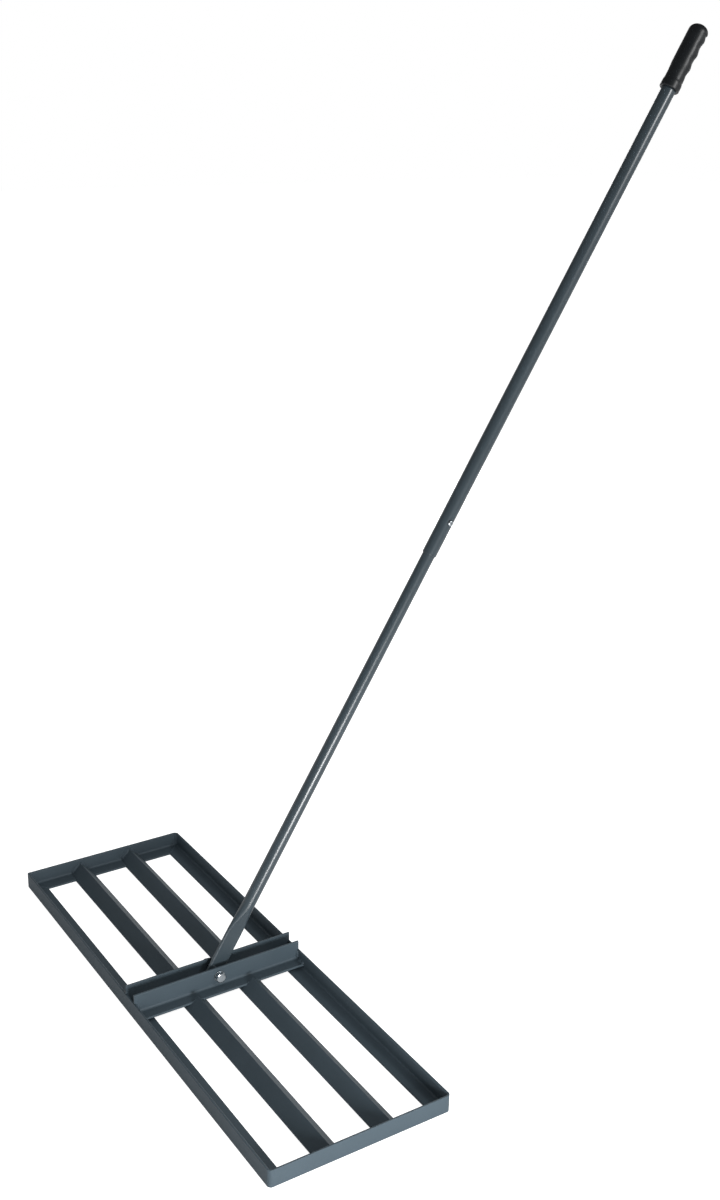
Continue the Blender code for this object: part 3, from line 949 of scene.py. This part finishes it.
def makeBracketWelds(look):
    # the bracket's flanges on the ridge bars, and its ends against the long rails
    work = bmesh.new()
    low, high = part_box("bracket_front_angle")
    deck = low.z + steel
    for sx in (1, -1):
        for number, name in enumerate(ridgeBars):
            barLow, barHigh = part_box(name)
            middle = (barLow.y + barHigh.y) / 2
            x = sx * (high.x + look["offFlange"])
            start, end = (x, middle - look["onBar"], deck), (x, middle + look["onBar"], deck)
            addBead(work, start, end, (0, 0, 1), (-sx, 0, 0),
                    look["fillet"], look["bulge"], seed=number + sx * 0.7)
        for sy in (1, -1):
            y = headMiddle + sy * (halfWide - steel)
            start, end = ((sx * at, y, deck) for at in (low.x + look["fromWall"], high.x - look["beforeToe"]))
            addBead(work, start, end, (0, 0, 1), (0, -sy, 0),
                    look["fillet"], look["bulge"], seed=sy * 1.3 + sx)
            x = sx * (low.x + steel)
            start, end = (x, y, deck + look["aboveDeck"]), (x, y, legHeight - look["belowTop"])
            addBead(work, start, end, (sx, 0, 0), (0, -sy, 0),
                    look["fillet"], look["bulge"], seed=sy * 0.9 + sx * 2)
    return newPiece("bracket_welds", work)


for piece in (
    makeCornerWelds(cornerWelds), makeCornerFaces(cornerFaces),
    makeBarWelds(barWelds), makeBracketWelds(bracketWelds),
):
    dress(piece, "head", "head_coating")
print("welds made")


# floor and light

studio = {
    "floorReach": 14.0,
    "floorColour": (0.80, 0.80, 0.80, 1),
    "lift": 0.78,    # brightness that the camera sees on the floor besides its own
    "mirrored": 0.2,    # share of that lift that gloss sees
    "skyLow": 0.14,    # light from the horizon and from overhead
    "skyHigh": 0.74,
    "skyFrom": (0.3, 1.0),    # sines of the heights between which it brightens
    "ceiling": 0.12,    # what gloss sees overhead
    "ceilingFrom": (0.10, 0.34),    # sines of the heights between which it darkens
    "lamps": (
        # name, place, aim, width, height, watts
        ("front", (1.33, -0.047, 0.217), (0.0, 0.2, 0.15), 0.39, 0.36, 19.0),
        ("side", (-0.20, -2.60, 0.14), (0.0, 0.1, 0.05), 1.8, 0.22, 9.0),
        ("upper", (1.66, 1.32, 1.75), (0.0, 0.7, 1.0), 0.46, 0.30, 18.0),
        ("rear", (-1.80, 2.40, 0.90), (0.0, 0.4, 0.3), 1.2, 1.0, 20.0),
    ),
}


def makeFloor(look):
    work = bmesh.new()
    bmesh.ops.create_grid(work, x_segments=2, y_segments=2, size=look["floorReach"])
    floor = newPiece("floor", work)
    paint = bpy.data.materials.new("floor_white")
    paint.use_nodes = True
    tree = paint.node_tree
    tree.nodes.remove(tree.nodes["Principled BSDF"])
    matt = addNode(tree, "BsdfDiffuse", Color=look["floorColour"])
    glow = addNode(tree, "Emission")
    rays = addNode(tree, "LightPath").outputs
    gloss = sums(tree, "MAXIMUM", rays["Is Glossy Ray"], rays["Is Transmission Ray"])
    seen = sums(tree, "MAXIMUM", rays["Is Camera Ray"], sums(tree, "MULTIPLY", gloss, look["mirrored"]))
    feed(tree, glow.inputs["Strength"], sums(tree, "MULTIPLY", seen, look["lift"]))
    both = addNode(tree, "AddShader")
    feed(tree, both.inputs[0], matt.outputs[0])
    feed(tree, both.inputs[1], glow.outputs[0])
    feed(tree, tree.nodes["Material Output"].inputs["Surface"], both.outputs[0])
    floor.data.materials.append(paint)


def makeSky(look):
    sky = bpy.data.worlds.new("studio")
    sky.use_nodes = True
    scene.world = sky
    tree = sky.node_tree
    background = tree.nodes["Background"].inputs
    background["Color"].default_value = (1, 1, 1, 1)
    rays = addNode(tree, "LightPath").outputs
    way = addNode(tree, "SeparateXYZ")
    feed(tree, way.inputs[0], addNode(tree, "TexCoord").outputs["Generated"])
    overhead = steep(tree, way.outputs["Z"], *look["ceilingFrom"])
    dim = sums(tree, "SUBTRACT", 1.0, sums(tree, "MULTIPLY", overhead, 1 - look["ceiling"]))
    gloss = sums(tree, "MAXIMUM", rays["Is Glossy Ray"], rays["Is Transmission Ray"])
    seen = sums(tree, "MAXIMUM", rays["Is Camera Ray"], sums(tree, "MULTIPLY", gloss, dim))
    brighter = steep(tree, way.outputs["Z"], *look["skyFrom"])
    above = sums(tree, "MULTIPLY", brighter, look["skyHigh"] - look["skyLow"])
    light = sums(tree, "MULTIPLY", rays["Is Diffuse Ray"], sums(tree, "ADD", above, look["skyLow"]))
    feed(tree, background["Strength"], sums(tree, "MAXIMUM", seen, light))


def makeLamps(look):
    for name, place, aim, width, height, watts in look["lamps"]:
        light = bpy.data.lights.new(name, "AREA")
        light.shape = "RECTANGLE"
        light.size, light.size_y, light.energy = width, height, watts
        lamp = bpy.data.objects.new(name, light)
        scene.collection.objects.link(lamp)
        lamp.location = place
        way = Vector(aim) - lamp.location
        lamp.rotation_euler = way.to_track_quat("-Z", "Y").to_euler()


makeFloor(studio)
makeSky(studio)
makeLamps(studio)
print("studio made")
